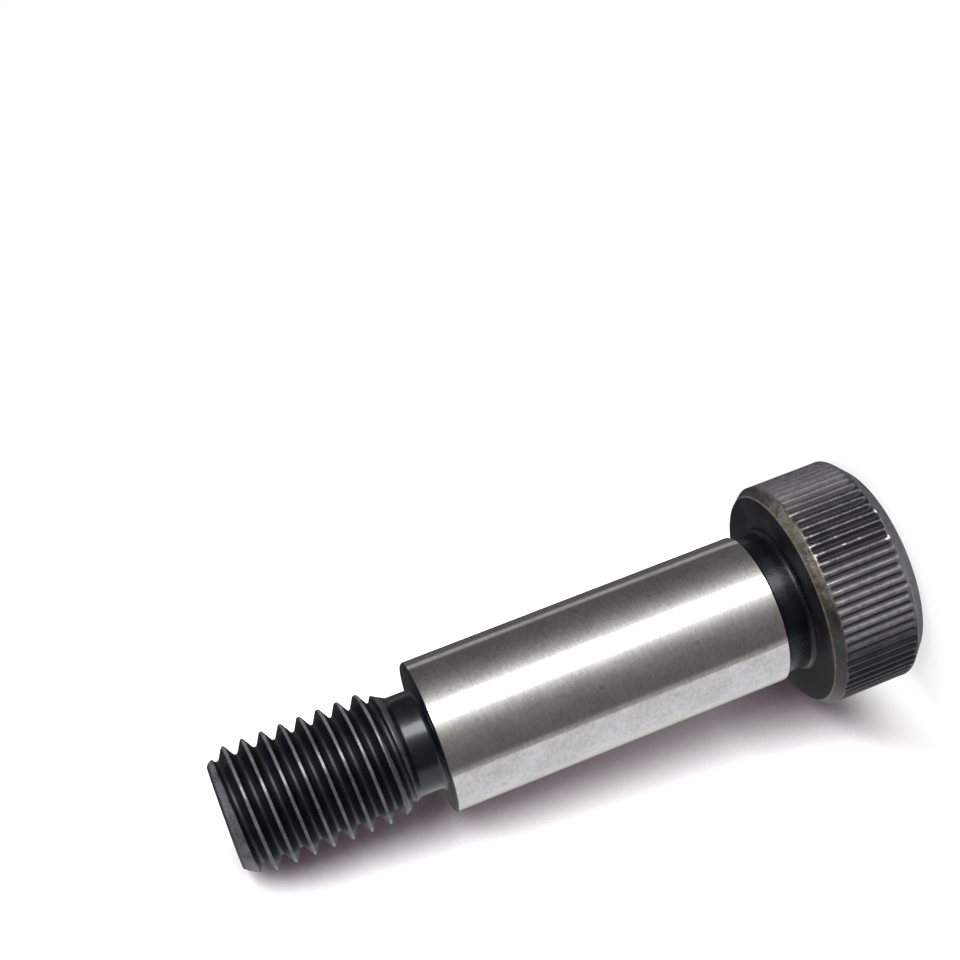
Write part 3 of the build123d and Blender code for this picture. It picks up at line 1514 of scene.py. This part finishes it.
@dataclass(frozen=True)
class Backdrop:
    """Pale sheet close behind the bolt that takes its soft shadow from the lamps, with painted shade near
    the bolt; clear from its back.
    """

    azimuth: float
    half_width: float = 110.0
    height: float = 110.0
    foot: float = 9.82                      # distance behind the axis at the floor
    top: float = -0.12                      # distance behind the axis at the top
    # colour of the painted shade near the bolt
    painted_shade: Colour = (0.22, 0.18, 0.20)
    paper: Colour = (0.94, 0.925, 0.93)
    # faint purple glow, painted in to tint the shadow
    shadow_tint_glow: Colour = (0.60, 0.30, 0.42)
    shadow_tint_glow_share: float = 0.04
    shade_reach: float = 7.5                # how near the bolt painted shade darkens the sheet, by closeness alone
    shade_edge: Span = (0.1, 0.8)
    shade_samples: int = 8
    foot_light: Span = (3.0, 11.0)          # height over which that painted shade is held back at the foot
    foot_light_share: float = 0.30
    white_beside: Span = (34.0, 60.0)       # distance from the axis over which it turns white
    white_above: Span = (75.0, 100.0)
    white_foot: Span = (0.0, 6.5)

    def build(self) -> None:
        """Makes the sheet."""
        behind, sideways = -direction(self.azimuth), direction(self.azimuth + math.pi / 2)
        corners = []
        for height, back in ((0.0, self.foot), (self.height, self.top)):
            for side in (-self.half_width, self.half_width):
                corners.append((sideways * side + behind * back + Vector((0, 0, height))) * MM)
        unseen_by = ["glossy", "diffuse", "transmission", "shadow"]
        stage_piece("backdrop", corners, [(0, 1, 3, 2)], self.material(), unseen_by)

    def material(self) -> bpy.types.Material:
        """Pale paper with painted shade near the bolt and a faint painted purple glow that tints its
        shadow, white away from the bolt and clear from behind.

        Returns:
            The material.
        """
        material, graph = new_material("backdrop_paper")
        place = graph.place()
        white = place.radius.rise(*self.white_beside).either(place.height.rise(*self.white_above))
        white = white.either(place.height.fall(*self.white_foot))
        reach = {"Distance": self.shade_reach * MM}
        # Painted shade: an occlusion node darkens the paper near the bolt, over the lamps' real shadow.
        open_sky = graph.add("ShaderNodeAmbientOcclusion", {"samples": self.shade_samples}, reach, "AO")
        open_sky = open_sky.either(place.height.fall(*self.foot_light) * self.foot_light_share)
        tone = graph.blend(open_sky.rise(*self.shade_edge), self.painted_shade, self.paper)
        # Painted light: a faint purple glow is mixed in, which tints the shadow.
        near = graph.mix(self.shadow_tint_glow_share, graph.diffuse(tone), graph.emission(self.shadow_tint_glow))
        front = graph.mix(white, near, graph.emission(WHITE))
        clear = graph.add("ShaderNodeBsdfTransparent", {}, {})
        back = graph.add("ShaderNodeNewGeometry", {}, {}, "Backfacing")
        graph.finish(graph.mix(back, front, clear))
        return material


class Card(Enum):
    """Upright cards of the tent: start, end and soft edge in degrees round the bolt, brightness."""

    SLIT = (-131, -125, 6, 0.36)
    WARM = (24, 60, 16, 0.045)
    SKIRT = (66, 80, 9, 0.32)

    def share(self, offset: Wire) -> Wire:
        """1 on the card, 0 off it, at an angle round the bolt."""
        start, end, soft = (math.radians(value) for value in self.value[:3])
        return offset.band(start, end, soft)

    def tone(self) -> float:
        """The card's brightness."""
        return self.value[3]


@dataclass(frozen=True)
class Tent:
    """Dark half-tent that only reflections see: room, lamp window, its glow, and pale cards.

    Angles run round the bolt from the camera's side, and edges in height are shares of the
    tent's radius. Dusk lies beyond the far side, zenith and nadir at the tent's two ends.
    """

    azimuth: float
    radius: float = 600.0
    start: float = math.radians(-217)
    end: float = math.radians(69)
    low: float = math.radians(-74)
    high: float = math.radians(84)
    columns: int = 160
    rows: int = 60
    room: float = 0.145
    lamp: float = math.radians(-28)
    lamp_half_width: float = math.radians(12)
    lamp_edge: float = math.radians(2)
    lamp_radiance: float = 7.0
    lamp_top: Span = (0.55, 0.8)
    glow: float = 2.0
    glow_width: float = math.radians(13)
    far_side: Span = (math.radians(100), math.radians(101))
    dusk: float = 0.80
    dusk_edge: Span = (math.radians(142), math.radians(176))
    behind: Span = (math.radians(-166), math.radians(-150))
    behind_share: float = 0.6
    zenith: float = 0.40
    zenith_edge: Span = (0.90, 0.94)
    high_front: float = 0.30
    high_front_edge: Span = (0.78, 0.86)
    front_reach: float = 0.3
    nadir: float = 1.80
    nadir_edge: Span = (-0.90, -0.80)
    nadir_front: float = 0.3
    white_light: Colour = (1.0, 1.0, 0.945)
    warm_light: Colour = (1.0, 0.925, 0.885)

    def build(self) -> None:
        """Makes the tent, part of a sphere."""
        turns = np.linspace(self.start, self.end, self.columns + 1)
        lifts = np.linspace(self.low, self.high, self.rows + 1)
        reach = self.radius * MM
        points = [direction(self.azimuth - turn, lift) * reach for lift in lifts for turn in turns]
        stride = self.columns + 1
        corners = [row * stride + column for row in range(self.rows) for column in range(self.columns)]
        quads = [(corner, corner + 1, corner + stride + 1, corner + stride) for corner in corners]
        unseen_by = ["camera", "diffuse", "shadow", "transmission"]
        stage_piece("reflection_tent", points, quads, self.material(), unseen_by)

    def above(self, place: Place, edge: Span) -> Wire:
        """Smooth step from 0 at the first height to 1 at the second."""
        return place.height.rise(self.radius * edge[0], self.radius * edge[1])

    def material(self) -> bpy.types.Material:
        """Light given off by the tent, by direction round the bolt.

        Returns:
            The material.
        """
        material, graph = new_material("tent_light")
        place = graph.place()
        ahead = place.toward(self.azimuth)
        offset = place.toward(self.azimuth - math.pi / 2).atan2(ahead)
        warm = Card.WARM.share(offset)
        far_side = offset.rise(*self.far_side)
        near = self.window(place, offset) + Card.SLIT.share(offset) * Card.SLIT.tone()
        near = near + warm * Card.WARM.tone() + Card.SKIRT.share(offset) * Card.SKIRT.tone()
        dusk = offset.fall(*self.dusk_edge) * self.dusk + self.room
        round_about = near * (1.0 - far_side) + dusk * far_side
        behind = offset.fall(*self.behind) * self.behind_share
        zenith = self.above(place, self.zenith_edge)
        front = self.above(place, self.high_front_edge) * ahead.rise(0.0, self.radius * self.front_reach)
        nadir = (1.0 - self.above(place, self.nadir_edge)) * (far_side + self.nadir_front)
        ends = (zenith * self.zenith).either(front * self.high_front) + nadir * self.nadir
        tone = round_about * (1.0 - behind) * (1.0 - zenith) + ends
        graph.finish(graph.emission(graph.blend(warm, self.white_light, self.warm_light), tone))
        return material

    def window(self, place: Place, offset: Wire) -> Wire:
        """Light of the dark room, the lamp window in it and the window's glow.

        Args:
            place: the point on the tent.
            offset: its angle round the bolt from the camera's side.

        Returns:
            The brightness.
        """
        from_lamp = abs(offset - self.lamp) - self.lamp_half_width
        core = from_lamp.fall(-self.lamp_edge, self.lamp_edge)
        halo = (-(from_lamp.either(0.0)) / self.glow_width).exp()
        low, high = self.lamp_top
        level = abs(place.height).fall(self.radius * low, self.radius * high)
        return self.room + level * (halo * self.glow + core * self.lamp_radiance)


@dataclass(frozen=True)
class SoftLamp:
    """Large square lamp that points at the bolt: angles in radians, sizes in metres, watts."""

    name: str
    azimuth: float
    lift: float
    distance_m: float
    size_m: float
    power: float
    aim_height_m: float = 0.027

    def build(self) -> None:
        """Adds the lamp, out of the reflections."""
        data = bpy.data.lights.new(self.name, "AREA")
        data.shape = "SQUARE"
        data.size = self.size_m
        data.energy = self.power
        lamp = link(bpy.data.objects.new(self.name, data))
        eye = direction(self.azimuth, self.lift) * self.distance_m
        lamp.matrix_world = looking(eye, Vector((0, 0, self.aim_height_m)))
        lamp.visible_glossy = False


@dataclass(frozen=True)
class Studio:
    """White surround, pale floor and sheet, reflection tent, two soft lamps and the camera."""

    view: Viewpoint
    sheet_turn: float = math.radians(42)    # from the camera's side to the way the sheet faces

    def build(self) -> None:
        """Builds the whole studio."""
        facing = self.view.azimuth + self.sheet_turn
        sheet = Backdrop(facing)
        key = SoftLamp("key_lamp", azimuth=facing - math.radians(5), lift=math.radians(34),
                       distance_m=0.7, size_m=0.6, power=7.5)
        top = SoftLamp("top_lamp", azimuth=facing + math.radians(86), lift=math.radians(72),
                       distance_m=0.8, size_m=0.6, power=4.0)
        for item in (Surround(), Floor(sheet), sheet, Tent(self.view.azimuth), key, top, self.view):
            item.build()
            LOG.info("studio: %s is in place", type(item).__name__)


# --------------------------------------------------------------------------------------------
# Making
# --------------------------------------------------------------------------------------------


def corners(box: Sequence[Any]) -> list[list[float]]:
    """Turns a box into plain lists of numbers."""
    return [[float(value) for value in corner] for corner in box]


def main() -> None:
    """Builds the bolt and the studio, and works out the model's box before and after."""
    logging.basicConfig(level=logging.INFO, format="%(name)s %(message)s")
    cad_box = corners(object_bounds())
    bpy.context.scene.view_settings.view_transform = "Standard"
    sizes = BoltSizes.from_frame(frame)
    view = Viewpoint()
    Head(sizes).dress(patina_angle=view.azimuth + PATINA_TURN)
    Neck(sizes).dress()
    Shoulder(sizes).dress()
    Thread(sizes).dress()
    Studio(view).build()
    {"cad": cad_box, "visual": corners(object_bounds())}


if __name__ == "__main__":
    main()
